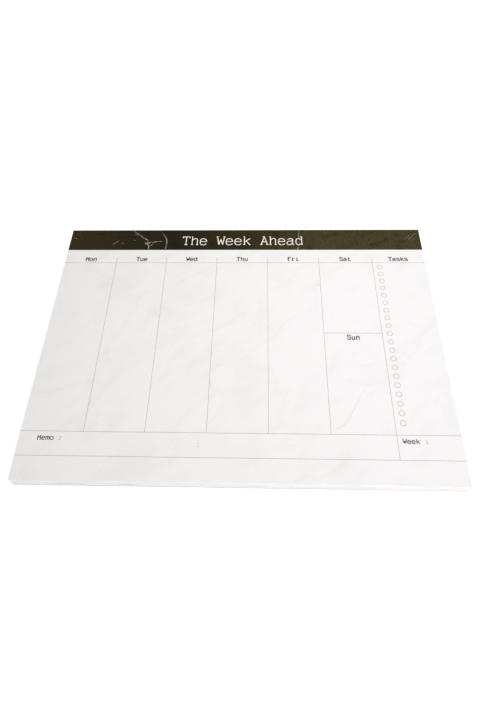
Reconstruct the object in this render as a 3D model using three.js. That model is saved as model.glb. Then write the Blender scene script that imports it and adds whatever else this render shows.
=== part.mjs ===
// A tear-off desk planner pad, lying flat.
// Millimetres. X runs across the page, Y from the loose front edge towards the glued edge, Z up.
// The origin is on the underside, in the middle of the pad's outline.

import * as THREE from 'three';

// Sheets, board and glue
const page_width = 304.8;
const page_depth = 228.6;
const sheet_count = 60;
const sheet_thickness = 0.155;
const board_thickness = 1.7;
const glue_thickness = 0.4;

// Printed layout, each size measured on the page
const ink_thickness = 0.1;
const header_depth = 23.45;
const name_row_depth = 14.7;
const divider_drop = 8.7;
const foot_depth = 17.1;
const notes_row_depth = 18.0;
const first_column_width = 44.4;
const day_column_width = 43.0;
const task_column_width = 43.9;
const narrow_day_columns = 4;
const weekend_split = 71.3;
const rule_width = 0.3;

// Tick rings down the task column
const ring_count = 20;
const ring_radius = 2.0;
const ring_line = 0.3;
const ring_inset = 5.7;
const ring_top_gap = 4.6;
const ring_bottom_gap = 9.0;
const ring_segments = 8;

// Heights of the stack
const block_thickness = sheet_count * sheet_thickness;
const block_top = board_thickness + block_thickness;

// Edges of the page in the plan. The glue adds its thickness to the pad's depth.
const pad_depth = page_depth + glue_thickness;
const page_left = -page_width / 2;
const page_right = page_width / 2;
const page_front = -pad_depth / 2;
const page_back = page_front + page_depth;

// Lines of the printed layout in the plan
const header_front = page_back - header_depth;
const name_line = header_front - name_row_depth;
const divider_start = header_front - divider_drop;
const foot_line = page_front + foot_depth;
const notes_line = foot_line + notes_row_depth;
const task_divider = page_right - task_column_width;
const weekend_line = name_line - weekend_split;

const card_grey = new THREE.MeshStandardMaterial({ color: 0xa39c90, roughness: 0.95, metalness: 0 });
const paper_white = new THREE.MeshStandardMaterial({ color: 0xf2f0ec, roughness: 0.85, metalness: 0 });
const glue_white = new THREE.MeshStandardMaterial({ color: 0xe9e6dc, roughness: 0.5, metalness: 0 });
const header_ink = new THREE.MeshStandardMaterial({ color: 0x3c3527, roughness: 0.7, metalness: 0 });
const rule_ink = new THREE.MeshStandardMaterial({ color: 0x9a9894, roughness: 0.8, metalness: 0 });

// A box named by the corner nearest the front left and its three sizes.
// Each corner is written straight to its place, so that faces that touch hold the same numbers.
function slab_geometry(left, front, bottom, width, depth, height) {
  const geometry = new THREE.BoxGeometry(1, 1, 1);
  const corners = geometry.attributes.position;
  for (let index = 0; index < corners.count; index += 1) {
    corners.setXYZ(
      index,
      corners.getX(index) < 0 ? left : left + width,
      corners.getY(index) < 0 ? front : front + depth,
      corners.getZ(index) < 0 ? bottom : bottom + height,
    );
  }
  return geometry;
}

function part(name, geometry, material) {
  const mesh = new THREE.Mesh(geometry, material);
  mesh.name = name;
  return mesh;
}

// The stiff greyboard under the sheets
function make_backing_board() {
  const geometry = slab_geometry(page_left, page_front, 0, page_width, page_depth, board_thickness);
  return part('backing_board', geometry, card_grey);
}

// All the tear-off sheets, which lie flush with the board on every side
function make_page_block() {
  const geometry = slab_geometry(
    page_left, page_front, board_thickness, page_width, page_depth, block_thickness);
  return part('page_block', geometry, paper_white);
}

// The brushed-on glue film that holds the sheets and the board along the back edge.
// Its two long outer edges are rounded, as the film thins out there.
function make_glue_binding() {
  const section = new THREE.Shape();
  section.moveTo(0, 0);
  section.quadraticCurveTo(glue_thickness, 0, glue_thickness, glue_thickness);
  section.lineTo(glue_thickness, block_top - glue_thickness);
  section.quadraticCurveTo(glue_thickness, block_top, 0, block_top);
  section.lineTo(0, 0);
  const geometry = new THREE.ExtrudeGeometry(section, {
    depth: page_width,
    bevelEnabled: false,
    curveSegments: 6,
  });
  // The section is drawn in X and Y and extruded along Z, so it is turned to run along the page's width.
  const turn = new THREE.Matrix4().makeBasis(
    new THREE.Vector3(0, 1, 0),
    new THREE.Vector3(0, 0, 1),
    new THREE.Vector3(1, 0, 0),
  );
  geometry.applyMatrix4(turn);
  geometry.translate(page_left, page_back, 0);
  return part('glue_binding', geometry, glue_white);
}

// The dark field across the head of the top sheet
function make_header_print() {
  const geometry = slab_geometry(
    page_left, header_front, block_top, page_width, header_depth, ink_thickness);
  return part('header_print', geometry, header_ink);
}

// A printed rule across the page, centred on its line
function rule_across(from_x, to_x, line_y) {
  return {
    left: from_x,
    right: to_x,
    front: line_y - rule_width / 2,
    back: line_y + rule_width / 2,
  };
}

// A printed rule down the page, centred on its line
function rule_down(line_x, from_y, to_y) {
  return {
    left: line_x - rule_width / 2,
    right: line_x + rule_width / 2,
    front: to_y,
    back: from_y,
  };
}

// The values in rising order, with those that are the same line taken once
function distinct(values) {
  const same_line = 1e-6;
  const sorted = [...values].sort((a, b) => a - b);
  return sorted.filter((value, index) => index === 0 || value - sorted[index - 1] > same_line);
}

// One flat solid that covers all the rules. The edges of all of them cut the plan into cells,
// and each cell that a rule covers gets a top, an underside and a wall wherever its neighbour is bare.
function network_geometry(rules, bottom, height) {
  const xs = distinct(rules.flatMap((rule) => [rule.left, rule.right]));
  const ys = distinct(rules.flatMap((rule) => [rule.front, rule.back]));
  const is_inked = (column, row) => {
    if (column < 0 || row < 0 || column > xs.length - 2 || row > ys.length - 2) {
      return false;
    }
    const x = (xs[column] + xs[column + 1]) / 2;
    const y = (ys[row] + ys[row + 1]) / 2;
    return rules.some((rule) => x > rule.left && x < rule.right && y > rule.front && y < rule.back);
  };
  const positions = [];
  const add_quad = (a, b, c, d) => positions.push(...a, ...b, ...c, ...a, ...c, ...d);
  const top = bottom + height;
  for (let column = 0; column < xs.length - 1; column += 1) {
    for (let row = 0; row < ys.length - 1; row += 1) {
      if (is_inked(column, row)) {
        const [left, right] = [xs[column], xs[column + 1]];
        const [front, back] = [ys[row], ys[row + 1]];
        add_quad([left, front, top], [right, front, top], [right, back, top], [left, back, top]);
        add_quad([left, back, bottom], [right, back, bottom], [right, front, bottom], [left, front, bottom]);
        if (!is_inked(column, row - 1)) {
          add_quad([left, front, bottom], [right, front, bottom], [right, front, top], [left, front, top]);
        }
        if (!is_inked(column, row + 1)) {
          add_quad([right, back, bottom], [left, back, bottom], [left, back, top], [right, back, top]);
        }
        if (!is_inked(column - 1, row)) {
          add_quad([left, back, bottom], [left, front, bottom], [left, front, top], [left, back, top]);
        }
        if (!is_inked(column + 1, row)) {
          add_quad([right, front, bottom], [right, back, bottom], [right, back, top], [right, front, top]);
        }
      }
    }
  }
  const geometry = new THREE.BufferGeometry();
  geometry.setAttribute('position', new THREE.Float32BufferAttribute(positions, 3));
  geometry.computeVertexNormals();
  return geometry;
}

// The lines of the week's columns, the notes row and the foot, which all meet in one network
function make_ruling_print() {
  const rules = [
    rule_across(page_left, page_right, name_line),
    rule_across(page_left, page_right, notes_line),
    rule_across(page_left, page_right, foot_line),
    rule_down(task_divider, divider_start, foot_line),
  ];
  const first_divider = page_left + first_column_width;
  for (let column = 0; column <= narrow_day_columns; column += 1) {
    rules.push(rule_down(first_divider + column * day_column_width, divider_start, notes_line));
  }
  const weekend_divider = first_divider + narrow_day_columns * day_column_width;
  rules.push(rule_across(weekend_divider, task_divider, weekend_line));
  return part('ruling_print', network_geometry(rules, block_top, ink_thickness), rule_ink);
}

// The row of tick rings, spread evenly between the name line and the notes row
function make_tick_rings() {
  const outer_radius = ring_radius + ring_line / 2;
  const inner_radius = ring_radius - ring_line / 2;
  const outline = new THREE.Shape();
  outline.absarc(0, 0, outer_radius, 0, 2 * Math.PI, false);
  const hole = new THREE.Path();
  hole.absarc(0, 0, inner_radius, 0, 2 * Math.PI, true);
  outline.holes.push(hole);
  const first_y = name_line - ring_top_gap;
  const last_y = notes_line + ring_bottom_gap;
  const ring_pitch = (first_y - last_y) / (ring_count - 1);
  const rings = new THREE.Group();
  for (let index = 0; index < ring_count; index += 1) {
    const geometry = new THREE.ExtrudeGeometry(outline, {
      depth: ink_thickness,
      bevelEnabled: false,
      curveSegments: ring_segments,
    });
    const number = String(index + 1).padStart(2, '0');
    const ring = part(`tick_ring_${number}`, geometry, rule_ink);
    ring.position.set(task_divider + ring_inset, first_y - index * ring_pitch, block_top);
    rings.add(ring);
  }
  return rings;
}

const planner = new THREE.Group();
planner.add(make_backing_board());
planner.add(make_page_block());
planner.add(make_glue_binding());
planner.add(make_header_print());
planner.add(make_ruling_print());
planner.add(make_tick_rings());

export default planner;
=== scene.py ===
# A tear-off desk planner pad: a greyboard, a stack of sheets glued along the head, and a printed top sheet.
# Blender's lengths are metres. A name that ends in _mm holds millimetres.
# X runs across the page, Y from the loose front edge towards the glued head edge, Z up.

import math
import random

import bpy
from mathutils import Matrix, Vector, noise


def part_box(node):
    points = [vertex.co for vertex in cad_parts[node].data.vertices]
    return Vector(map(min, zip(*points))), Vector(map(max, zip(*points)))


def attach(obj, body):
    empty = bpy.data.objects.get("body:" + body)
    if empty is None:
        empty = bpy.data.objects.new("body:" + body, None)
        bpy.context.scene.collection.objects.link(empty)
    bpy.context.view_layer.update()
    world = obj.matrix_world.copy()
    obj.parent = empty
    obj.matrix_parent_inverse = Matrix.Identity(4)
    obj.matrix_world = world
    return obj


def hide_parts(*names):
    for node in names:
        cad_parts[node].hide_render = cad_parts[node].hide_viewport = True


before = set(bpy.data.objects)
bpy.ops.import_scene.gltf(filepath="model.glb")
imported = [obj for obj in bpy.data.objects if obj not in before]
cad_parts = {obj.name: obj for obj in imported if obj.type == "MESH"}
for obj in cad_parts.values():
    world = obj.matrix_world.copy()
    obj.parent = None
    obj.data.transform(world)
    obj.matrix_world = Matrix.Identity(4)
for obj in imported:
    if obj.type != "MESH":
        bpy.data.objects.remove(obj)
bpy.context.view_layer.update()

MM = 0.001
BODY = "root"

# Places that the frame gives
page_low, page_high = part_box("page_block")
board_low, board_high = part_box("backing_board")
glue_low, glue_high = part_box("glue_binding")
header_low, header_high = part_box("header_print")
rules_low, rules_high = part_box("ruling_print")
page_top = page_high.z
page_width = page_high.x - page_low.x
page_depth = page_high.y - page_low.y
ink_height = header_high.z - header_low.z

# The stack
sheet_count = 60
paper_share = 0.94
sheet_pitch = (page_high.z - page_low.z) / sheet_count
paper_thickness = sheet_pitch * paper_share
leaf_cells_across = 20
leaf_cells_deep = 15
top_cells_across = 64
top_cells_deep = 48

# How the loose sheets lie. The lifts are at the front corners and die away over the spread given.
left_lift_mm = 0.26
left_spread_mm = 52.0
right_lift_mm = 0.14
right_spread_mm = 40.0
ripple_mm = 0.09
ripple_length_mm = 170.0
ripple_slant = 0.4
bundle_shift_mm = 0.22
leaf_shift_mm = 0.06
bundle_fewest = 3
bundle_most = 7
stack_seed = 11
# The top sheet's rise fades down the stack by this power of a leaf's level
rise_fade = 3

# Printed films, thinner than the CAD model's, just proud of the sheet
film_mm = 0.035
film_clear_mm = 0.008
film_step_mm = 5.0
ring_line_mm = 0.36
ring_sides = 36

# How near the loose triangles of a CAD node's copy are joined, and how flat they lie to become one face
merge_mm = 0.001
flat_angle = math.radians(1.0)

# Pen strokes: how round their tubes are, the steps between two points, and the orders of their curves
stroke_roundness = 2
stroke_steps = 6
letter_curve_order = 3
vein_curve_order = 4

# The greyboard's blunted edges, and the cells that its faces are cut into
board_blunt_mm = 0.18
board_cell_mm = 20.0

# The glue film's rounded edges and cells, and the streaks that the brush leaves in it. Their noise is
# coarse along the brush's way and fine across it, and it is read on one level slice, so that it has no Y.
glue_round_mm = 0.15
glue_cells = (100, 1, 12)
glue_streak_mm = 0.06
glue_streak_noise = Vector((18.0, 0.0, 420.0))
glue_streak_slice = Vector((0.0, 3.0, 0.0))

# The printed layout across the page, from the left edge
first_column_mm = 44.4
day_column_mm = 43.0
day_columns = 4
task_column_mm = 43.9

# The words. Baselines are measured from the page's front edge.
title_middle_mm = -0.8
title_pitch_mm = 7.57
title_height_mm = 9.3
title_half_stroke_mm = 0.4
title_baseline_mm = 211.3
label_pitch_mm = 3.3
label_height_mm = 3.9
label_half_stroke_mm = 0.38
label_baseline_mm = 192.8
sunday_baseline_mm = 113.4
field_pitch_mm = 2.95
field_height_mm = 3.0
field_half_stroke_mm = 0.27
memo_middle_mm = -130.7
memo_baseline_mm = 28.8
week_middle_mm = 120.7
week_baseline_mm = 29.1

# Typewriter letters as pen strokes, in a cell 10 wide with capitals 12 high and small letters 8.6 high.
# A stroke of two points is straight. The inner points of a longer one pull it into a bow.
cell_across = 10.0
cell_up = 12.0
letter_strokes = {
    "A": [[(5, 12), (1.4, 0)], [(5, 12), (8.6, 0)], [(2.6, 4.2), (7.4, 4.2)], [(0.4, 0), (3, 0)],
          [(7, 0), (9.6, 0)], [(3.2, 12), (5.2, 12)]],
    "F": [[(2.4, 12), (2.4, 0)], [(1.2, 12), (8.6, 12)], [(2.4, 6.4), (6.4, 6.4)], [(8.6, 12), (8.6, 9.6)],
          [(1.2, 0), (5, 0)]],
    "M": [[(1.6, 0), (1.6, 12)], [(8.4, 0), (8.4, 12)], [(1.6, 12), (5, 4.6)], [(5, 4.6), (8.4, 12)],
          [(0.4, 0), (3.2, 0)], [(6.8, 0), (9.6, 0)]],
    "S": [[(8, 9.4), (8, 12.2), (1.6, 12.6), (1.6, 6.6), (8.6, 6), (8.6, -0.4), (1.6, -0.4), (1.5, 2.8)],
          [(8, 12), (8, 9.2)], [(1.5, 0), (1.5, 3)]],
    "T": [[(1.2, 12), (8.8, 12)], [(5, 12), (5, 0)], [(3.2, 0), (6.8, 0)], [(1.2, 12), (1.2, 9.8)],
          [(8.8, 12), (8.8, 9.8)]],
    "W": [[(0.9, 12), (2.8, 0)], [(2.8, 0), (5, 8)], [(5, 8), (7.2, 0)], [(7.2, 0), (9.1, 12)],
          [(0.1, 12), (2.4, 12)], [(7.6, 12), (9.9, 12)]],
    "a": [[(1.8, 7.2), (2.6, 8.8), (7.4, 9.2), (7.4, 4), (7.4, 0)], [(7.4, 0), (8.8, 0)],
          [(7.4, 5.2), (1, 5.6), (1, -0.4), (5.6, -0.4), (7.4, 2.4)]],
    "d": [[(7.8, 12), (7.8, 0)], [(6.4, 12), (7.8, 12)], [(7.8, 0), (9, 0)],
          [(7.8, 6.6), (6.8, 8.7), (1.1, 9), (1.1, -0.3), (6.8, -0.2), (7.8, 2)]],
    "e": [[(1.3, 4.6), (8.5, 4.6)],
          [(8.5, 4.6), (8.5, 8.8), (1.2, 9.2), (1.2, -0.2), (7, -0.6), (8.4, 1.4)]],
    "h": [[(2, 12), (2, 0)], [(0.9, 12), (2, 12)], [(2, 6), (3, 8.6), (7.9, 9.6), (7.9, 4), (7.9, 0)],
          [(0.9, 0), (3.2, 0)], [(6.8, 0), (9.1, 0)]],
    "i": [[(5, 8.6), (5, 0)], [(2.8, 8.6), (5, 8.6)], [(2, 0), (8, 0)], [(5, 11.2), (5, 12)]],
    "k": [[(2.2, 12), (2.2, 0)], [(2.2, 3.6), (7.6, 8.6)], [(4.2, 5.4), (8.2, 0)], [(1, 12), (2.2, 12)],
          [(1, 0), (3.2, 0)], [(6.8, 8.6), (8.8, 8.6)], [(7.2, 0), (9.2, 0)]],
    "m": [[(1.2, 8.6), (1.2, 0)], [(1.2, 6.2), (2, 8.6), (5, 9.6), (5, 5), (5, 0)],
          [(5, 6.2), (5.8, 8.6), (8.8, 9.6), (8.8, 5), (8.8, 0)], [(0.2, 0), (2.2, 0)], [(4.2, 0), (6, 0)],
          [(8, 0), (9.8, 0)], [(0.2, 8.6), (1.2, 8.6)]],
    "n": [[(2.2, 8.6), (2.2, 0)], [(1, 8.6), (2.2, 8.6)], [(1, 0), (3.4, 0)], [(6.8, 0), (9.1, 0)],
          [(2.2, 6), (3.2, 8.6), (7.9, 9.6), (7.9, 4), (7.9, 0)]],
    "o": [[(5.3, 8.7), (1.2, 8.7), (1.2, -0.1), (8.8, -0.1), (8.8, 8.7), (4.7, 8.7)]],
    "r": [[(3.2, 8.6), (3.2, 0)], [(1.6, 8.6), (3.2, 8.6)], [(3.2, 5.4), (4.4, 8.8), (7.8, 9.4), (8.6, 7.4)],
          [(1.4, 0), (6, 0)]],
    "s": [[(7.8, 6.8), (7.6, 8.8), (1.7, 9.2), (1.7, 4.9), (8.3, 4.5), (8.3, -0.3), (1.7, -0.3), (1.5, 2.2)]],
    "t": [[(3.6, 11.4), (3.6, 5), (3.4, -0.6), (7, -0.6), (8.4, 1.2)], [(1.4, 8.6), (7.8, 8.6)]],
    "u": [[(2.1, 8.6), (2.1, 3), (2.1, -1), (6.8, -0.2), (7.8, 2.6)], [(7.8, 8.6), (7.8, 0)],
          [(1, 8.6), (2.1, 8.6)], [(6.6, 8.6), (7.8, 8.6)], [(7.8, 0), (9, 0)]],
    ":": [[(3.8, 7.4), (6.2, 7.4)], [(3.8, 0.8), (6.2, 0.8)]],
}

# The camera, from the page's corners and its round rings: place in page millimetres, angles in degrees
camera_across_mm = 13.935
camera_from_front_mm = -106.805
camera_above_mm = 331.562
camera_down = math.radians(58.700)
camera_left = math.radians(-3.979)
camera_roll = math.radians(-3.014)
picture_height_px = 720
focal_px = 517.59
sensor_height_mm = 36.0
nearest_seen_mm = 10.0

# The printed white marble: the way that its clouds and veins are drawn out across the page, the width
# of a cloud and the spacing of the veins
marble_turn = math.radians(38.0)
marble_cloud_mm = 22.0
marble_cloud_stretch = 1.9
marble_vein_mm = 42.0
marble_vein_stretch = 2.4

# The printed dark marble: clouds, wisps of mist, and the stone's crystals
dark_cloud_mm = 13.0
dark_mist_mm = 5.0
dark_crystal_mm = 1.5

# Paper: the fibres and the tooth of an offset sheet are finer than 0.1 mm, and are drawn this coarse so
# that they show. Sheets lie 0.155 mm apart at the cut edge, where a band stands for four or five of them.
# The darker lines between the bands are painted shade of the gaps between those bundles.
paper_fibre_mm = 1.4
paper_tooth_mm = 0.9
cut_band_mm = 0.7
cut_band_stretch = 50.0
cut_blotch_mm = 24.0

# Greyboard: lumps of pulp, and fibres and tooth, which are drawn coarser than they are so that they show
board_pulp_mm = 7.0
board_fleck_mm = 0.9
board_tooth_mm = 0.6

# Glue: the streaks that the brush's bristles leave along the edge
brush_streak_mm = 1.1
brush_streak_stretch = 33.0

# The light: the room's strength, and how far the floor is lifted to white for the camera.
# The lift is less near the pad, so that its soft shadow stays.
room_light = 0.45
near_lift = 0.48
far_lift = 0.85
near_reach = 0.2
far_reach = 0.6
floor_size = 6.0
floor_drop_mm = 0.05


def linear(hex_colour):
    """An sRGB hex colour as the linear RGBA that a shader takes."""
    channels = [int(hex_colour[i:i + 2], 16) / 255 for i in (1, 3, 5)]
    return tuple(c / 12.92 if c <= 0.04045 else ((c + 0.055) / 1.055) ** 2.4 for c in channels) + (1.0,)


def set_inputs(material, node, inputs):
    """Gives each named socket of a node its value, or links it to the output socket that is given."""
    for name, value in inputs.items():
        if isinstance(value, bpy.types.NodeSocket):
            material.node_tree.links.new(value, node.inputs[name])
        else:
            node.inputs[name].default_value = value


def add(material, kind, inputs=None, stops=(), **settings):
    """Adds a node to a material or the world. Stops are the places and hex colours along a ramp."""
    node = material.node_tree.nodes.new(kind)
    for name, value in settings.items():
        setattr(node, name, value)
    set_inputs(material, node, inputs or {})
    if stops:
        elements = node.color_ramp.elements
        while len(elements) < len(stops):
            elements.new(0.5)
        for element, (place, colour) in zip(elements, stops):
            element.position = place
            element.color = linear(colour)
    return node


def new_material(name):
    """A material, and its shader with no value set yet."""
    material = bpy.data.materials.new(name)
    material.use_nodes = True
    return material, material.node_tree.nodes["Principled BSDF"]


def noise_scale(feature_mm):
    """The scale at which a noise pattern's features are feature_mm across."""
    return 1.0 / (feature_mm * MM)


def make_printed_paper():
    """Wood-free offset paper, uncoated and calendered, printed with a faint grey marble.

    It gives the eye a dull, nearly even white, with soft clouds and a few hair-fine veins in it.
    """
    material, shader = new_material("printed_offset_paper")
    place = add(material, "ShaderNodeTexCoord").outputs["Object"]
    cloud_place = add(material, "ShaderNodeMapping", {
        "Vector": place,
        "Rotation": (0.0, 0.0, marble_turn),
        "Scale": (marble_cloud_stretch, 1.0, 1.0),
    }, vector_type="TEXTURE").outputs["Vector"]
    clouds = add(material, "ShaderNodeTexNoise", {
        "Vector": cloud_place,
        "Scale": noise_scale(marble_cloud_mm),
        "Detail": 4.0,
        "Roughness": 0.5,
    }).outputs["Fac"]
    clouded = add(material, "ShaderNodeValToRGB", {"Fac": clouds}, stops=[
        (0.32, "#F1F1F1"),
        (0.47, "#F5F5F5"),
        (0.58, "#F6F6F6"),
        (0.72, "#F3F3F3"),
    ]).outputs["Color"]
    vein_place = add(material, "ShaderNodeMapping", {
        "Vector": place,
        "Rotation": (0.0, 0.0, marble_turn),
        "Scale": (marble_vein_stretch, 1.0, 1.0),
    }, vector_type="TEXTURE").outputs["Vector"]
    veins = add(material, "ShaderNodeTexNoise", {
        "Vector": vein_place,
        "Scale": noise_scale(marble_vein_mm),
        "Detail": 6.0,
        "Roughness": 0.55,
        "Distortion": 0.25,
    }).outputs["Fac"]
    veined = add(material, "ShaderNodeValToRGB", {"Fac": veins}, stops=[
        (0.465, "#FFFFFF"),
        (0.5, "#FCFCFC"),
        (0.52, "#FFFFFF"),
    ]).outputs["Color"]
    marbled = add(material, "ShaderNodeMix", {
        "Factor": 1.0,
        "A": clouded,
        "B": veined,
    }, data_type="RGBA", blend_type="MULTIPLY").outputs["Result"]
    fibres = add(material, "ShaderNodeTexNoise", {
        "Vector": place,
        "Scale": noise_scale(paper_fibre_mm),
        "Detail": 2.0,
        "Roughness": 0.55,
    }).outputs["Fac"]
    flecked = add(material, "ShaderNodeValToRGB", {"Fac": fibres}, stops=[
        (0.3, "#FCFCFC"),
        (0.7, "#FFFFFF"),
    ]).outputs["Color"]
    colour = add(material, "ShaderNodeMix", {
        "Factor": 1.0,
        "A": marbled,
        "B": flecked,
    }, data_type="RGBA", blend_type="MULTIPLY").outputs["Result"]
    tooth = add(material, "ShaderNodeTexNoise", {
        "Vector": place,
        "Scale": noise_scale(paper_tooth_mm),
        "Detail": 3.0,
        "Roughness": 0.55,
    }).outputs["Fac"]
    relief = add(material, "ShaderNodeBump", {
        "Height": tooth,
        "Distance": 0.01 * MM,
        "Strength": 0.25,
    }).outputs["Normal"]
    set_inputs(material, shader, {
        "Base Color": colour,
        "Roughness": 0.82,
        "IOR": 1.5,
        "Specular IOR Level": 0.2,
        "Normal": relief,
    })
    return material


def make_cut_paper():
    """The same paper at its guillotined edge.

    The sheets lie in bands, so the edge is a little streaked along its length; its darker streaks are painted
    shade of the gaps between bundles of sheets.
    """
    material, shader = new_material("cut_paper_edge")
    place = add(material, "ShaderNodeTexCoord").outputs["Object"]
    band_place = add(material, "ShaderNodeMapping", {
        "Vector": place,
        "Scale": (cut_band_stretch, cut_band_stretch, 1.0),
    }, vector_type="TEXTURE").outputs["Vector"]
    bands = add(material, "ShaderNodeTexNoise", {
        "Vector": band_place,
        "Scale": noise_scale(cut_band_mm),
        "Detail": 3.0,
        "Roughness": 0.7,
    }).outputs["Fac"]
    # The darker stops are painted shade of the gaps between bundles of sheets; the paler ones are the paper's
    # own tone.
    bands_and_painted_gap_shade = add(material, "ShaderNodeValToRGB", {"Fac": bands}, stops=[
        (0.3, "#E0DFDE"),
        (0.42, "#F4F3F3"),
        (0.6, "#FBFBFA"),
        (0.75, "#EFEEEE"),
    ]).outputs["Color"]
    blotches = add(material, "ShaderNodeTexNoise", {
        "Vector": place,
        "Scale": noise_scale(cut_blotch_mm),
        "Detail": 2.0,
        "Roughness": 0.55,
    }).outputs["Fac"]
    blotched = add(material, "ShaderNodeValToRGB", {"Fac": blotches}, stops=[
        (0.3, "#FCFBFA"),
        (0.7, "#FFFFFF"),
    ]).outputs["Color"]
    colour = add(material, "ShaderNodeMix", {
        "Factor": 1.0,
        "A": bands_and_painted_gap_shade,
        "B": blotched,
    }, data_type="RGBA", blend_type="MULTIPLY").outputs["Result"]
    relief = add(material, "ShaderNodeBump", {
        "Height": bands,
        "Distance": 0.05 * MM,
        "Strength": 0.4,
    }).outputs["Normal"]
    set_inputs(material, shader, {
        "Base Color": colour,
        "Roughness": 0.88,
        "IOR": 1.5,
        "Specular IOR Level": 0.25,
        "Normal": relief,
    })
    return material


def make_greyboard():
    """Greyboard pressed from waste paper: dull, warm grey, with dark fibre flecks."""
    material, shader = new_material("pressed_greyboard")
    place = add(material, "ShaderNodeTexCoord").outputs["Object"]
    pulp = add(material, "ShaderNodeTexNoise", {
        "Vector": place,
        "Scale": noise_scale(board_pulp_mm),
        "Detail": 6.0,
        "Roughness": 0.65,
    }).outputs["Fac"]
    body = add(material, "ShaderNodeValToRGB", {"Fac": pulp}, stops=[
        (0.3, "#CAC8C3"),
        (0.5, "#D4D2CE"),
        (0.7, "#DBDAD6"),
    ]).outputs["Color"]
    fibres = add(material, "ShaderNodeTexNoise", {
        "Vector": place,
        "Scale": noise_scale(board_fleck_mm),
        "Detail": 2.0,
        "Roughness": 0.5,
    }).outputs["Fac"]
    flecks = add(material, "ShaderNodeValToRGB", {"Fac": fibres}, stops=[
        (0.3, "#8F887D"),
        (0.36, "#FFFFFF"),
    ]).outputs["Color"]
    colour = add(material, "ShaderNodeMix", {
        "Factor": 0.55,
        "A": body,
        "B": flecks,
    }, data_type="RGBA", blend_type="MULTIPLY").outputs["Result"]
    tooth = add(material, "ShaderNodeTexNoise", {
        "Vector": place,
        "Scale": noise_scale(board_tooth_mm),
        "Detail": 4.0,
        "Roughness": 0.55,
    }).outputs["Fac"]
    relief = add(material, "ShaderNodeBump", {
        "Height": tooth,
        "Distance": 0.06 * MM,
        "Strength": 0.5,
    }).outputs["Normal"]
    set_inputs(material, shader, {
        "Base Color": colour,
        "Roughness": 0.95,
        "IOR": 1.45,
        "Specular IOR Level": 0.2,
        "Normal": relief,
    })
    return material


def make_padding_glue():
    """White padding compound, a rubbery PVA brushed along the edge: satin, milky, with brush streaks."""
    material, shader = new_material("padding_compound")
    place = add(material, "ShaderNodeTexCoord").outputs["Object"]
    streak_place = add(material, "ShaderNodeMapping", {
        "Vector": place,
        "Scale": (brush_streak_stretch, 1.0, 1.0),
    }, vector_type="TEXTURE").outputs["Vector"]
    streaks = add(material, "ShaderNodeTexNoise", {
        "Vector": streak_place,
        "Scale": noise_scale(brush_streak_mm),
        "Detail": 4.0,
        "Roughness": 0.6,
    }).outputs["Fac"]
    colour = add(material, "ShaderNodeValToRGB", {"Fac": streaks}, stops=[
        (0.3, "#E6E3DD"),
        (0.5, "#F0EEEA"),
        (0.72, "#F5F4F1"),
    ]).outputs["Color"]
    relief = add(material, "ShaderNodeBump", {
        "Height": streaks,
        "Distance": 0.08 * MM,
        "Strength": 0.6,
    }).outputs["Normal"]
    set_inputs(material, shader, {
        "Base Color": colour,
        "Roughness": 0.42,
        "IOR": 1.46,
        "Specular IOR Level": 0.5,
        "Coat Weight": 0.25,
        "Coat Roughness": 0.3,
        "Normal": relief,
    })
    return material


def make_header_ink():
    """A full-strength offset print of dark marble: brown-black at the left, olive brown at the right."""
    material, shader = new_material("dark_marble_print")
    place = add(material, "ShaderNodeTexCoord").outputs["Object"]
    across = add(material, "ShaderNodeSeparateXYZ", {"Vector": place}).outputs["X"]
    share = add(material, "ShaderNodeMapRange", {
        "Value": across,
        "From Min": page_low.x,
        "From Max": page_high.x,
    }).outputs["Result"]
    ground = add(material, "ShaderNodeValToRGB", {"Fac": share}, stops=[
        (0.0, "#352D1A"),
        (0.3, "#211C0C"),
        (0.55, "#383019"),
        (0.72, "#484127"),
        (1.0, "#494229"),
    ]).outputs["Color"]
    clouds = add(material, "ShaderNodeTexNoise", {
        "Vector": place,
        "Scale": noise_scale(dark_cloud_mm),
        "Detail": 6.0,
        "Roughness": 0.6,
        "Distortion": 0.6,
    }).outputs["Fac"]
    shades = add(material, "ShaderNodeValToRGB", {"Fac": clouds}, stops=[
        (0.3, "#C4BFB4"),
        (0.5, "#FFFFFF"),
        (0.7, "#FFFFFF"),
    ]).outputs["Color"]
    clouded = add(material, "ShaderNodeMix", {
        "Factor": 1.0,
        "A": ground,
        "B": shades,
    }, data_type="RGBA", blend_type="MULTIPLY").outputs["Result"]
    mist = add(material, "ShaderNodeTexNoise", {
        "Vector": place,
        "Scale": noise_scale(dark_mist_mm),
        "Detail": 5.0,
        "Roughness": 0.7,
        "Distortion": 1.2,
    }).outputs["Fac"]
    wisps = add(material, "ShaderNodeValToRGB", {"Fac": mist}, stops=[
        (0.58, "#000000"),
        (0.8, "#241F14"),
    ]).outputs["Color"]
    misted = add(material, "ShaderNodeMix", {
        "Factor": 1.0,
        "A": clouded,
        "B": wisps,
    }, data_type="RGBA", blend_type="ADD").outputs["Result"]
    crystals = add(material, "ShaderNodeTexNoise", {
        "Vector": place,
        "Scale": noise_scale(dark_crystal_mm),
        "Detail": 2.0,
        "Roughness": 0.6,
    }).outputs["Fac"]
    grain = add(material, "ShaderNodeValToRGB", {"Fac": crystals}, stops=[
        (0.3, "#C9C4BA"),
        (0.5, "#EFEDEA"),
        (0.7, "#FFFFFF"),
    ]).outputs["Color"]
    colour = add(material, "ShaderNodeMix", {
        "Factor": 1.0,
        "A": misted,
        "B": grain,
    }, data_type="RGBA", blend_type="MULTIPLY").outputs["Result"]
    set_inputs(material, shader, {
        "Base Color": colour,
        "Roughness": 0.7,
        "IOR": 1.5,
        "Specular IOR Level": 0.08,
    })
    return material


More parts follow.
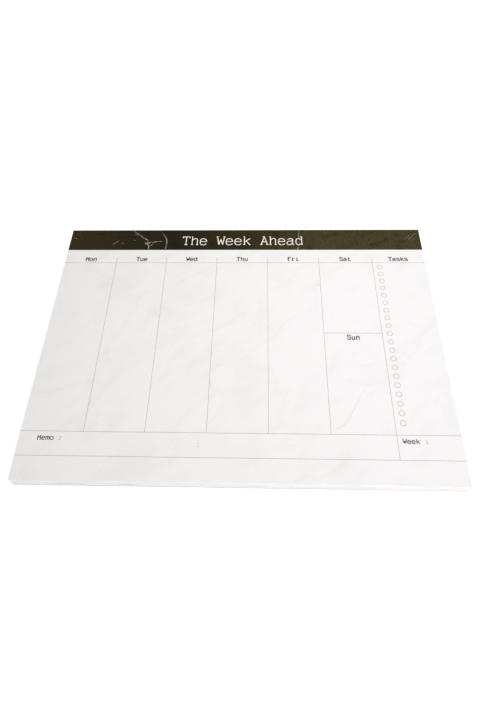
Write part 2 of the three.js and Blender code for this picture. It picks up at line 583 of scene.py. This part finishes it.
def make_ink(name, pale, dark, uptake_mm):
    """A thin offset ink on uncoated paper, which takes it a little unevenly, so that its shade wanders."""
    material, shader = new_material(name)
    place = add(material, "ShaderNodeTexCoord").outputs["Object"]
    uptake = add(material, "ShaderNodeTexNoise", {
        "Vector": place,
        "Scale": noise_scale(uptake_mm),
        "Detail": 3.0,
        "Roughness": 0.55,
    }).outputs["Fac"]
    colour = add(material, "ShaderNodeValToRGB", {"Fac": uptake}, stops=[
        (0.35, dark),
        (0.65, pale),
    ]).outputs["Color"]
    set_inputs(material, shader, {
        "Base Color": colour,
        "Roughness": 0.75,
        "IOR": 1.5,
        "Specular IOR Level": 0.3,
    })
    return material


def rays_that_see(material):
    """1 for rays from the camera, from gloss and through glass, which are to meet a white room."""
    rays = add(material, "ShaderNodeLightPath").outputs
    seen = add(material, "ShaderNodeMath", {
        0: rays["Is Camera Ray"],
        1: rays["Is Glossy Ray"],
    }, operation="MAXIMUM").outputs["Value"]
    return add(material, "ShaderNodeMath", {
        0: seen,
        1: rays["Is Transmission Ray"],
    }, operation="MAXIMUM").outputs["Value"]


def make_floor_material():
    """White seamless studio paper. For the camera it is lifted to white, and its shadows still darken it."""
    material, shader = new_material("studio_paper")
    set_inputs(material, shader, {
        "Base Color": linear("#E6E6E6"),
        "Roughness": 1.0,
        "Specular IOR Level": 0.0,
    })
    place = add(material, "ShaderNodeTexCoord").outputs["Object"]
    reach = add(material, "ShaderNodeVectorMath", {"Vector": place}, operation="LENGTH").outputs["Value"]
    strength = add(material, "ShaderNodeMapRange", {
        "Value": reach,
        "From Min": near_reach,
        "From Max": far_reach,
        "To Min": near_lift,
        "To Max": far_lift,
    }).outputs["Result"]
    lifted = add(material, "ShaderNodeMath", {
        0: rays_that_see(material),
        1: strength,
    }, operation="MULTIPLY").outputs["Value"]
    glow = add(material, "ShaderNodeEmission", {"Strength": lifted}).outputs["Emission"]
    total = add(material, "ShaderNodeAddShader", {0: shader.outputs["BSDF"], 1: glow}).outputs["Shader"]
    set_inputs(material, material.node_tree.nodes["Material Output"], {"Surface": total})
    return material


def clear_selection():
    bpy.ops.object.select_all(action="DESELECT")


def edit(piece):
    """Opens a piece for editing, with all of it selected."""
    clear_selection()
    bpy.context.view_layer.objects.active = piece
    piece.select_set(True)
    bpy.ops.object.mode_set(mode="EDIT")
    bpy.ops.mesh.select_mode(type="VERT")
    bpy.ops.mesh.select_all(action="SELECT")


def stop_editing():
    bpy.ops.object.mode_set(mode="OBJECT")


def dress(piece, name, material, nodes=()):
    """Names a finished piece, gives it its material, and says what it rides on and stands for."""
    piece.name = name
    piece.data.name = name
    piece.data.materials.clear()
    piece.data.materials.append(material)
    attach(piece, BODY)
    if nodes:
        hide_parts(*nodes)
    return piece


def rise(x, y):
    """How far the top sheet stands above the flat stack at a place on the page."""
    from_left = (x - page_low.x) / MM
    from_right = (page_high.x - x) / MM
    from_front = (y - page_low.y) / MM
    left = left_lift_mm * math.exp(-(from_left ** 2 + from_front ** 2) / left_spread_mm ** 2)
    right = right_lift_mm * math.exp(-(from_right ** 2 + from_front ** 2) / right_spread_mm ** 2)
    looseness = min(max((page_high.y - y) / page_depth, 0.0), 1.0)
    along = (from_left + ripple_slant * from_front) / ripple_length_mm
    wave = (1.0 + math.sin(2 * math.pi * along)) / 2
    return (left + right + ripple_mm * wave * looseness) * MM


def new_slab(cells_across, cells_deep, left, front, bottom, width, depth, height):
    """A thin slab with a grid over it: a grid primitive, drawn to size and extruded up."""
    clear_selection()
    bpy.ops.mesh.primitive_grid_add(x_subdivisions=cells_across, y_subdivisions=cells_deep, size=1.0)
    piece = bpy.context.object
    edit(piece)
    bpy.ops.transform.resize(value=(width, depth, 1.0), center_override=(0.0, 0.0, 0.0))
    bpy.ops.transform.translate(value=(left + width / 2, front + depth / 2, bottom))
    bpy.ops.mesh.extrude_region_move(TRANSFORM_OT_translate={"value": (0.0, 0.0, height)})
    bpy.ops.mesh.select_all(action="SELECT")
    bpy.ops.mesh.normals_make_consistent(inside=False)
    stop_editing()
    return piece


def skew_leaf(mesh, level, shift_x, shift_y):
    """Bends and shifts one loose leaf. Its glued back edge stays where it is."""
    for vertex in mesh.vertices:
        point = vertex.co
        looseness = (page_high.y - point.y) / page_depth
        lift = rise(point.x, point.y) * level ** rise_fade
        point.x += shift_x * looseness
        point.y += shift_y * looseness
        point.z += lift


def copy_piece(piece, move):
    """A copy of a piece with a mesh of its own, moved within that mesh."""
    copy = piece.copy()
    copy.data = piece.data.copy()
    copy.data.transform(Matrix.Translation(move))
    bpy.context.scene.collection.objects.link(copy)
    return copy


def make_page_stack(material):
    """The sheets under the top one, each a loose leaf of its own, shifted a little in bundles of a few."""
    draws = random.Random(stack_seed)
    leaf = new_slab(leaf_cells_across, leaf_cells_deep, page_low.x, page_low.y, page_low.z,
                    page_width, page_depth, paper_thickness)
    leaves = []
    left_in_bundle = 0
    for index in range(sheet_count - 1):
        if left_in_bundle == 0:
            left_in_bundle = draws.randint(bundle_fewest, bundle_most)
            bundle_x = draws.uniform(-bundle_shift_mm, bundle_shift_mm)
            bundle_y = draws.uniform(-bundle_shift_mm, bundle_shift_mm)
        left_in_bundle -= 1
        copy = copy_piece(leaf, (0.0, 0.0, index * sheet_pitch))
        shift_x = (bundle_x + draws.uniform(-leaf_shift_mm, leaf_shift_mm)) * MM
        shift_y = (bundle_y + draws.uniform(-leaf_shift_mm, leaf_shift_mm)) * MM
        skew_leaf(copy.data, index / (sheet_count - 1), shift_x, shift_y)
        leaves.append(copy)
    bpy.data.objects.remove(leaf)
    clear_selection()
    for copy in leaves:
        copy.select_set(True)
    bpy.context.view_layer.objects.active = leaves[0]
    bpy.ops.object.join()
    return dress(leaves[0], "page_stack", material, ["page_block"])


def make_top_sheet(material):
    """The printed sheet on top, which takes up the last place in the stack."""
    sheet = new_slab(top_cells_across, top_cells_deep, page_low.x, page_low.y, page_top - paper_thickness,
                     page_width, page_depth, paper_thickness)
    skew_leaf(sheet.data, 1.0, 0.0, 0.0)
    return dress(sheet, "top_sheet", material, ["page_block"])


def cells_between(low, high, cell_mm):
    """How many cells of about cell_mm go between two corners, across and deep."""
    return [max(1, round((high[axis] - low[axis]) / (cell_mm * MM))) for axis in (0, 1)]


def cut_into_cells(piece, low, high, counts):
    """Cuts a piece along evenly spaced planes, counts[axis] cells along each axis."""
    edit(piece)
    for axis, count in enumerate(counts):
        normal = [0.0, 0.0, 0.0]
        normal[axis] = 1.0
        for index in range(1, count):
            place = [0.0, 0.0, 0.0]
            place[axis] = low[axis] + (high[axis] - low[axis]) * index / count
            bpy.ops.mesh.select_all(action="SELECT")
            bpy.ops.mesh.bisect(plane_co=place, plane_no=normal)
    stop_editing()


def lay_on_sheet(piece, level=0):
    """Presses a print that was made ink_height thick down to a film on the curved top sheet.

    level is the number of films that lie under it.
    """
    for vertex in piece.data.vertices:
        share = (vertex.co.z - page_top) / ink_height
        surface = page_top + rise(vertex.co.x, vertex.co.y)
        vertex.co.z = surface + (film_clear_mm + film_mm * (share + level)) * MM


def copy_of_node(node):
    """A copy of a CAD node's mesh, with its loose triangles joined up."""
    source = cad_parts[node]
    piece = bpy.data.objects.new(node + "_copy", source.data.copy())
    bpy.context.scene.collection.objects.link(piece)
    edit(piece)
    bpy.ops.mesh.remove_doubles(threshold=merge_mm * MM)
    bpy.ops.mesh.dissolve_limited(angle_limit=flat_angle)
    stop_editing()
    return piece


def make_header_field(material):
    """The dark band across the head of the page."""
    across, deep = cells_between(header_low, header_high, film_step_mm)
    field = new_slab(across, deep, header_low.x, header_low.y, page_top,
                     header_high.x - header_low.x, header_high.y - header_low.y, ink_height)
    lay_on_sheet(field)
    return dress(field, "header_field", material, ["header_print"])


def make_ruled_lines(material):
    """The network of ruled lines, cut from the CAD model's own outline."""
    lines = copy_of_node("ruling_print")
    cut_into_cells(lines, rules_low, rules_high, cells_between(rules_low, rules_high, film_step_mm))
    lay_on_sheet(lines)
    return dress(lines, "ruled_lines", material, ["ruling_print"])


def make_inked_rings(material):
    """The tick rings, rounder than the CAD model's. One is modelled, and the others are its copies."""
    nodes = sorted(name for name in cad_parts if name.startswith("tick_ring_"))
    low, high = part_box(nodes[0])
    outer = (high.x - low.x) / 2
    inner = outer - ring_line_mm * MM
    clear_selection()
    bpy.ops.mesh.primitive_circle_add(vertices=ring_sides, radius=outer, fill_type="NOTHING")
    ring = bpy.context.object
    edit(ring)
    bpy.ops.mesh.extrude_region_move(TRANSFORM_OT_translate={"value": (0.0, 0.0, 0.0)})
    bpy.ops.transform.resize(value=(inner / outer, inner / outer, 1.0), center_override=(0.0, 0.0, 0.0))
    bpy.ops.mesh.select_all(action="SELECT")
    bpy.ops.mesh.extrude_region_move(TRANSFORM_OT_translate={"value": (0.0, 0.0, ink_height)})
    bpy.ops.mesh.select_all(action="SELECT")
    bpy.ops.mesh.normals_make_consistent(inside=False)
    stop_editing()
    for node in nodes:
        low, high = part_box(node)
        middle = (low + high) / 2
        copy = copy_piece(ring, (middle.x, middle.y, page_top))
        lay_on_sheet(copy)
        dress(copy, node.replace("tick_ring", "inked_ring"), material, [node])
    bpy.data.objects.remove(ring)


def make_strokes(name, strokes, material, curve_order, level=0):
    """Pen strokes as one film: tubes along curves, pressed flat.

    Each stroke is a list of (x, y, half width) in page millimetres.
    """
    curve = bpy.data.curves.new(name, "CURVE")
    curve.dimensions = "3D"
    # A tube's radius is this depth times a point's radius, which is then the stroke's half width
    curve.bevel_depth = 1.0
    curve.bevel_resolution = stroke_roundness
    curve.resolution_u = stroke_steps
    curve.use_fill_caps = True
    for stroke in strokes:
        spline = curve.splines.new("NURBS")
        spline.points.add(len(stroke) - 1)
        spline.order_u = min(curve_order, len(stroke))
        spline.use_endpoint_u = True
        for point, (x, y, half) in zip(spline.points, stroke):
            point.co = (x * MM, page_low.y + y * MM, 0.0, 1.0)
            point.radius = half * MM
    piece = bpy.data.objects.new(name, curve)
    bpy.context.scene.collection.objects.link(piece)
    clear_selection()
    bpy.context.view_layer.objects.active = piece
    piece.select_set(True)
    bpy.ops.object.convert(target="MESH")
    piece = bpy.context.object
    tallest = max(vertex.co.z for vertex in piece.data.vertices)
    for vertex in piece.data.vertices:
        vertex.co.z = page_top + (vertex.co.z / tallest + 1.0) / 2 * ink_height
    lay_on_sheet(piece, level)
    return dress(piece, name, material)


def set_words(words, name, material, middle, baseline, pitch, cap_height, half_stroke, level=0):
    """A line of evenly spaced typewriter letters. Sizes and places are page millimetres."""
    left = middle - pitch * len(words) / 2
    strokes = []
    for index, character in enumerate(words):
        for stroke in letter_strokes.get(character, []):
            strokes.append([
                (left + (index + x / cell_across) * pitch, baseline + y / cell_up * cap_height, half_stroke)
                for x, y in stroke
            ])
    return make_strokes(name, strokes, material, letter_curve_order, level)


def make_words(title_ink, label_ink):
    """Plain, generic words where the page has its printed ones. The title lies over the veins."""
    set_words("The Week Ahead", "title_words", title_ink, title_middle_mm, title_baseline_mm,
              title_pitch_mm, title_height_mm, title_half_stroke_mm, level=2)
    page_left_mm = page_low.x / MM
    page_right_mm = page_high.x / MM
    middles = [page_left_mm + first_column_mm / 2]
    for index in range(day_columns):
        middles.append(page_left_mm + first_column_mm + day_column_mm * (index + 0.5))
    weekend_left = page_left_mm + first_column_mm + day_column_mm * day_columns
    middles.append((weekend_left + page_right_mm - task_column_mm) / 2)
    middles.append(page_right_mm - task_column_mm / 2)
    places = [(words, middle, label_baseline_mm)
              for words, middle in zip(("Mon", "Tue", "Wed", "Thu", "Fri", "Sat", "Tasks"), middles)]
    places.append(("Sun", middles[-2], sunday_baseline_mm))
    for words, middle, baseline in places:
        set_words(words, "label_" + words.lower(), label_ink, middle, baseline,
                  label_pitch_mm, label_height_mm, label_half_stroke_mm)
    set_words("Memo :", "label_memo", label_ink, memo_middle_mm, memo_baseline_mm,
              field_pitch_mm, field_height_mm, field_half_stroke_mm)
    set_words("Week :", "label_week", label_ink, week_middle_mm, week_baseline_mm,
              field_pitch_mm, field_height_mm, field_half_stroke_mm)


def make_veins(tan_ink, grey_ink):
    """The pale veins of the dark marble, and the one grey vein that shows in the white marble."""
    head = [
        [(-97.8, 228.2, 0.1), (-95.6, 225.8, 0.35), (-93.0, 223.6, 0.5), (-90.6, 221.9, 0.3),
         (-88.4, 219.4, 0.5), (-86.2, 218.5, 0.45), (-84.4, 216.6, 0.7)],
        [(-97.0, 223.9, 0.08), (-94.8, 222.6, 0.2), (-92.4, 222.8, 0.08)],
        [(-84.4, 216.6, 0.5), (-83.2, 215.9, 0.3), (-83.6, 213.9, 0.5), (-84.8, 212.9, 0.3)],
        [(-81.8, 209.4, 0.2), (-80.2, 210.8, 0.45), (-79.4, 212.2, 0.3), (-78.2, 213.0, 0.1)],
        [(-86.6, 213.6, 0.5), (-85.4, 212.6, 0.9), (-83.4, 211.8, 1.0), (-81.8, 214.0, 0.4),
         (-80.6, 214.8, 0.2)],
        [(-83.8, 212.4, 0.5), (-82.4, 210.2, 0.8), (-82.0, 208.0, 0.6), (-82.6, 206.0, 0.2)],
        [(-80.3, 213.9, 0.2), (-77.3, 214.9, 0.5), (-74.3, 215.0, 0.5), (-71.3, 215.6, 0.15)],
        [(-72.3, 225.6, 0.1), (-69.8, 222.4, 0.3), (-67.8, 219.0, 0.5), (-66.8, 214.8, 0.65),
         (-67.1, 210.0, 0.35), (-67.6, 206.0, 0.25)],
        [(-114.4, 211.2, 0.15), (-111.8, 214.2, 0.35), (-109.0, 216.0, 0.12)],
        [(-106.7, 213.6, 0.15), (-105.4, 213.0, 0.3), (-104.4, 212.4, 0.1)],
        [(-96.8, 216.9, 0.1), (-95.4, 216.4, 0.25), (-94.4, 216.3, 0.1)],
        [(49.0, 228.0, 0.2), (48.1, 224.4, 0.35), (47.6, 221.2, 0.25), (48.6, 217.6, 0.35),
         (49.0, 214.0, 0.25), (47.6, 209.4, 0.3), (46.4, 205.6, 0.4)],
        [(139.0, 217.0, 0.1), (141.8, 220.0, 0.2), (145.2, 223.6, 0.1)],
        [(141.6, 216.0, 0.1), (144.8, 219.6, 0.25), (149.4, 224.6, 0.1)],
        [(144.6, 215.4, 0.1), (147.6, 218.8, 0.2), (150.4, 221.8, 0.1)],
        [(-150.0, 219.6, 0.1), (-148.2, 218.8, 0.2), (-146.2, 218.4, 0.1)],
    ]
    make_strokes("marble_veins", head, tan_ink, vein_curve_order, level=1)
    page = [
        [(92.6, 74.2, 0.04), (90.6, 69.8, 0.06), (87.6, 67.0, 0.08), (86.8, 62.2, 0.06), (83.0, 59.4, 0.08),
         (82.6, 55.0, 0.08), (79.2, 52.4, 0.18), (78.6, 47.0, 0.16), (75.0, 44.8, 0.22), (72.6, 40.6, 0.18),
         (66.9, 39.1, 0.05)],
        [(79.2, 52.4, 0.1), (76.2, 49.6, 0.16), (75.6, 46.2, 0.05)],
    ]
    make_strokes("page_vein", page, grey_ink, vein_curve_order)
    specks = [
        [(-27.4, 28.8, 0.55), (-27.2, 29.6, 0.55)],
        [(-27.3, 26.7, 0.5), (-27.1, 27.4, 0.5)],
        [(-27.2, 24.7, 0.85), (-27.0, 25.6, 0.85)],
        [(61.6, 166.5, 0.65), (62.6, 166.3, 0.65)],
    ]
    make_strokes("page_specks", specks, grey_ink, vein_curve_order)


def new_block(low, high, blunt_mm):
    """A block between two corners with its edges blunted: a cube, drawn to size and bevelled."""
    clear_selection()
    bpy.ops.mesh.primitive_cube_add(size=1.0)
    block = bpy.context.object
    edit(block)
    bpy.ops.transform.resize(value=tuple(high - low), center_override=(0.0, 0.0, 0.0))
    bpy.ops.transform.translate(value=tuple((low + high) / 2))
    bpy.ops.mesh.bevel(offset=blunt_mm * MM, segments=2, affect="EDGES")
    stop_editing()
    return block


def make_greyboard_piece(material):
    """The board under the sheets, with blunted corners and softly rounded cut edges."""
    board = new_block(board_low, board_high, board_blunt_mm)
    cut_into_cells(board, board_low, board_high, cells_between(board_low, board_high, board_cell_mm))
    return dress(board, "greyboard", material, ["backing_board"])


def make_glue_film(material):
    """The brushed glue on the head edge, uneven along the brush's way, and rounded where it thins out."""
    film = new_block(glue_low, glue_high, glue_round_mm)
    cut_into_cells(film, glue_low, glue_high, glue_cells)
    middle_y = (glue_low.y + glue_high.y) / 2
    for vertex in film.data.vertices:
        if vertex.co.y > middle_y:
            streak = noise.noise(vertex.co * glue_streak_noise + glue_streak_slice)
            vertex.co.y -= (1.0 + streak) * glue_streak_mm * MM
    return dress(film, "glue_film", material, ["glue_binding"])


def make_floor():
    clear_selection()
    bpy.ops.mesh.primitive_plane_add(size=floor_size, location=(0.0, 0.0, -floor_drop_mm * MM))
    floor = bpy.context.object
    floor.name = "floor"
    floor.data.materials.append(make_floor_material())


def make_world():
    """Soft light from all round. What the camera and reflections see of it is white."""
    world = bpy.data.worlds.new("soft_room")
    bpy.context.scene.world = world
    world.use_nodes = True
    room = world.node_tree.nodes["Background"]
    set_inputs(world, room, {"Color": linear("#FFFCF5"), "Strength": room_light})
    white = add(world, "ShaderNodeBackground", {"Color": linear("#FFFFFF"), "Strength": 1.0})
    choice = add(world, "ShaderNodeMixShader", {
        0: rays_that_see(world),
        1: room.outputs["Background"],
        2: white.outputs["Background"],
    }).outputs["Shader"]
    set_inputs(world, world.node_tree.nodes["World Output"], {"Surface": choice})


def add_softbox(name, place, aim, width, height, watts, colour):
    """A soft rectangular lamp. Places and sizes are metres."""
    lamp = bpy.data.lights.new(name, "AREA")
    lamp.color = linear(colour)[:3]
    lamp.shape = "RECTANGLE"
    lamp.size = width
    lamp.size_y = height
    lamp.energy = watts
    holder = bpy.data.objects.new(name, lamp)
    bpy.context.scene.collection.objects.link(holder)
    holder.location = place
    holder.rotation_euler = (Vector(aim) - Vector(place)).to_track_quat("-Z", "Y").to_euler()


def make_camera():
    forward = Vector((
        math.sin(camera_left) * math.cos(camera_down),
        math.cos(camera_left) * math.cos(camera_down),
        -math.sin(camera_down),
    ))
    right = Vector((math.cos(camera_left), -math.sin(camera_left), 0.0))
    down = forward.cross(right)
    turned_right = right * math.cos(camera_roll) - down * math.sin(camera_roll)
    turned_down = right * math.sin(camera_roll) + down * math.cos(camera_roll)
    axes = Matrix((turned_right, -turned_down, -forward)).transposed()
    data = bpy.data.cameras.new("camera")
    data.sensor_fit = "VERTICAL"
    data.sensor_height = sensor_height_mm
    data.lens = focal_px / picture_height_px * sensor_height_mm
    data.clip_start = nearest_seen_mm * MM
    camera = bpy.data.objects.new("camera", data)
    bpy.context.scene.collection.objects.link(camera)
    place = Vector((
        camera_across_mm * MM,
        page_low.y + camera_from_front_mm * MM,
        page_top + camera_above_mm * MM,
    ))
    camera.matrix_world = Matrix.Translation(place) @ axes.to_4x4()
    bpy.context.scene.camera = camera


bpy.context.scene.view_settings.view_transform = "Standard"
make_camera()
make_world()
make_floor()
add_softbox("overhead_softbox", place=(0.1, 0.08, 0.52), aim=(0.1, 0.08, 0.0), width=0.3, height=0.3,
            watts=1.34, colour="#FCFBFF")
add_softbox("front_softbox", place=(0.5, -1.0, 0.3), aim=(0.0, -0.1, 0.0), width=1.2, height=0.5,
            watts=9.6, colour="#FBFAFF")

make_greyboard_piece(make_greyboard())
make_page_stack(make_cut_paper())
make_top_sheet(make_printed_paper())
make_glue_film(make_padding_glue())
make_header_field(make_header_ink())
grey_line_ink = make_ink("grey_line_ink", pale="#BAB9B7", dark="#ABAAA8", uptake_mm=9.0)
make_ruled_lines(grey_line_ink)
make_inked_rings(grey_line_ink)
make_words(
    make_ink("reversed_out_paper", pale="#FFFCF4", dark="#FAF5EA", uptake_mm=4.0),
    make_ink("black_letter_ink", pale="#29292B", dark="#18181A", uptake_mm=3.0),
)
make_veins(
    make_ink("tan_vein_ink", pale="#B3A892", dark="#4A4232", uptake_mm=1.6),
    make_ink("pale_grey_vein_ink", pale="#E6E5E5", dark="#D6D5D4", uptake_mm=6.0),
)
